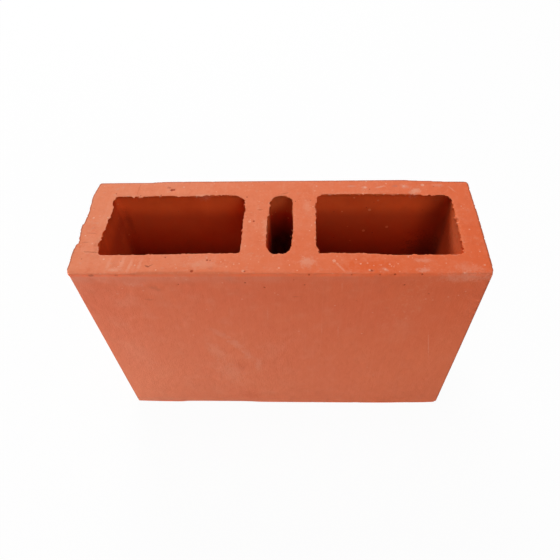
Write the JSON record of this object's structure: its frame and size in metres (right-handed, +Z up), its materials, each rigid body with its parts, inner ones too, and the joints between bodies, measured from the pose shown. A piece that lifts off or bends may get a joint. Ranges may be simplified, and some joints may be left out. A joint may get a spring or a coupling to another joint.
{
  "type": "hollow clay block",
  "caption": "Hollow masonry block of red fired clay, with large open cells beside a narrow centre slot, all running through from bed face to bed face.",
  "frame": {"origin": "middle of the lower bed face, on which the block stands", "axes": "+X along the block's length, +Y from its front face shell to its back one, +Z up along the cells"},
  "size_m": [0.303, 0.1, 0.2],
  "materials": {
    "fired_clay": "matte"
  },
  "bodies": {
    "root": {"block": "fired_clay"}
  },
  "joints": []
}
